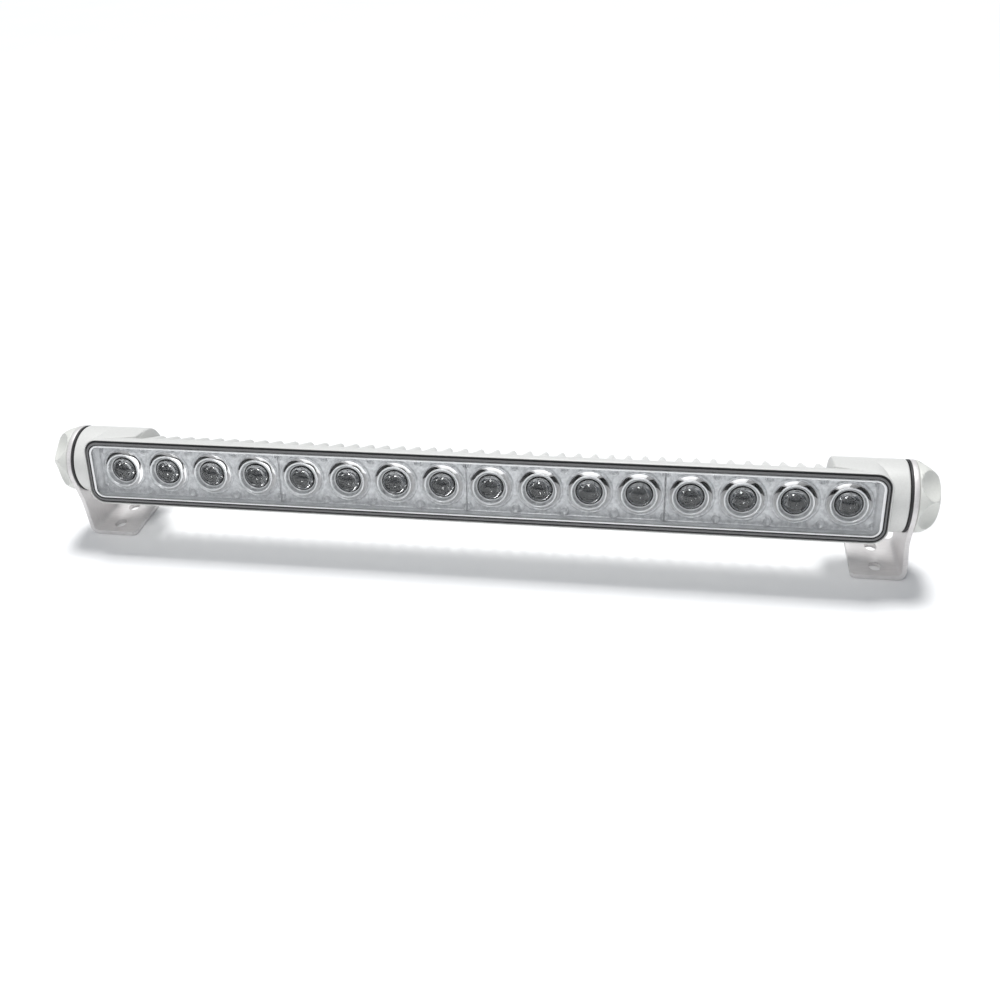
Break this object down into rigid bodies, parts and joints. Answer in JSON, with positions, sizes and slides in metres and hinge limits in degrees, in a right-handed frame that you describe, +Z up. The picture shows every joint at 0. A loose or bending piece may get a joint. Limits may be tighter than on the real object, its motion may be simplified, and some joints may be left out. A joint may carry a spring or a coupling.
{
  "type": "led light bar",
  "caption": "Slim LED light bar: a row of clear lensed lights behind a clear cover in a white finned housing, clamped by hand knobs between two L-shaped steel feet.",
  "frame": {"origin": "on the mounting surface under the feet, at the centre of the object's footprint", "axes": "+X along the bar, +Y away from the lit side, +Z up from the mounting surface"},
  "size_m": [0.571, 0.0664, 0.0818],
  "materials": {
    "white_paint": "white powder coat on die-cast aluminium, satin",
    "white_plastic": "off-white moulded plastic, satin",
    "clear_cover": "clear polycarbonate, glossy",
    "clear_optic": "clear acrylic, glossy",
    "black_rubber": "matt black",
    "silvered_plastic": "vacuum-metallised, slightly rough",
    "circuit_board": "white solder mask",
    "thermal_pad": "soft filled silicone",
    "stainless": "stainless sheet, lightly brushed",
    "brass": "machined",
    "dark_plastic": "moulded"
  },
  "bodies": {
    "lamp": {"housing": "white_paint", "cover_lens": "clear_cover", "lens_gasket": "black_rubber", "optic_module_1": "silvered_plastic", "optic_module_2": "silvered_plastic", "optic_module_3": "silvered_plastic", "optic_module_4": "silvered_plastic", "optic_01": "clear_optic", "optic_02": "clear_optic", "optic_03": "clear_optic", "optic_04": "clear_optic", "optic_05": "clear_optic", "optic_06": "clear_optic", "optic_07": "clear_optic", "optic_08": "clear_optic", "optic_09": "clear_optic", "optic_10": "clear_optic", "optic_11": "clear_optic", "optic_12": "clear_optic", "optic_13": "clear_optic", "optic_14": "clear_optic", "optic_15": "clear_optic", "optic_16": "clear_optic", "led_board_1": "circuit_board", "led_board_2": "circuit_board", "led_board_3": "circuit_board", "led_board_4": "circuit_board", "thermal_pad": "thermal_pad", "board_screw_1": "stainless", "board_screw_2": "stainless", "board_screw_3": "stainless", "board_screw_4": "stainless", "board_screw_5": "stainless", "board_screw_6": "stainless", "board_screw_7": "stainless", "board_screw_8": "stainless", "driver_board": "circuit_board", "driver_choke": "dark_plastic", "driver_capacitor": "dark_plastic", "gland_body": "white_plastic", "gland_nut": "white_plastic", "gland_plug": "black_rubber", "vent_plug": "dark_plastic", "left_friction_ring": "black_rubber", "left_thread_insert": "brass", "right_friction_ring": "black_rubber", "right_thread_insert": "brass"},
    "left_foot": {"left_bracket": "stainless"},
    "left_clamp": {"left_thrust_washer": "stainless"},
    "left_hand_knob": {"left_knob": "white_plastic", "left_stud": "stainless"},
    "right_foot": {"right_bracket": "stainless"},
    "right_clamp": {"right_thrust_washer": "stainless"},
    "right_hand_knob": {"right_knob": "white_plastic", "right_stud": "stainless"}
  },
  "joints": [
    {"name": "left_foot_tilt", "type": "hinge", "parent": "lamp", "child": "left_foot", "pos_m": [-0.2689, -0.00459, 0.0549], "axis": [1, 0, 0], "range_deg": [-180, 180]},
    {"name": "left_clamp_travel", "type": "slide", "parent": "lamp", "child": "left_clamp", "axis": [-1, 0, 0], "range_m": [0, 0.00375]},
    {"name": "left_knob_turn", "type": "hinge", "parent": "left_clamp", "child": "left_hand_knob", "pos_m": [-0.2713, -0.00459, 0.0549], "axis": [-1, 0, 0], "range_deg": [0, 1080]},
    {"name": "right_foot_tilt", "type": "hinge", "parent": "lamp", "child": "right_foot", "pos_m": [0.2689, -0.00459, 0.0549], "axis": [1, 0, 0], "range_deg": [-180, 180]},
    {"name": "right_clamp_travel", "type": "slide", "parent": "lamp", "child": "right_clamp", "axis": [1, 0, 0], "range_m": [0, 0.00375]},
    {"name": "right_knob_turn", "type": "hinge", "parent": "right_clamp", "child": "right_hand_knob", "pos_m": [0.2713, -0.00459, 0.0549], "axis": [1, 0, 0], "range_deg": [0, 1080]}
  ],
  "couplings": [
    {"joint": "left_clamp_travel", "follows": "left_knob_turn", "m_per_rad": 0.00019894},
    {"joint": "right_clamp_travel", "follows": "right_knob_turn", "m_per_rad": 0.00019894}
  ]
}
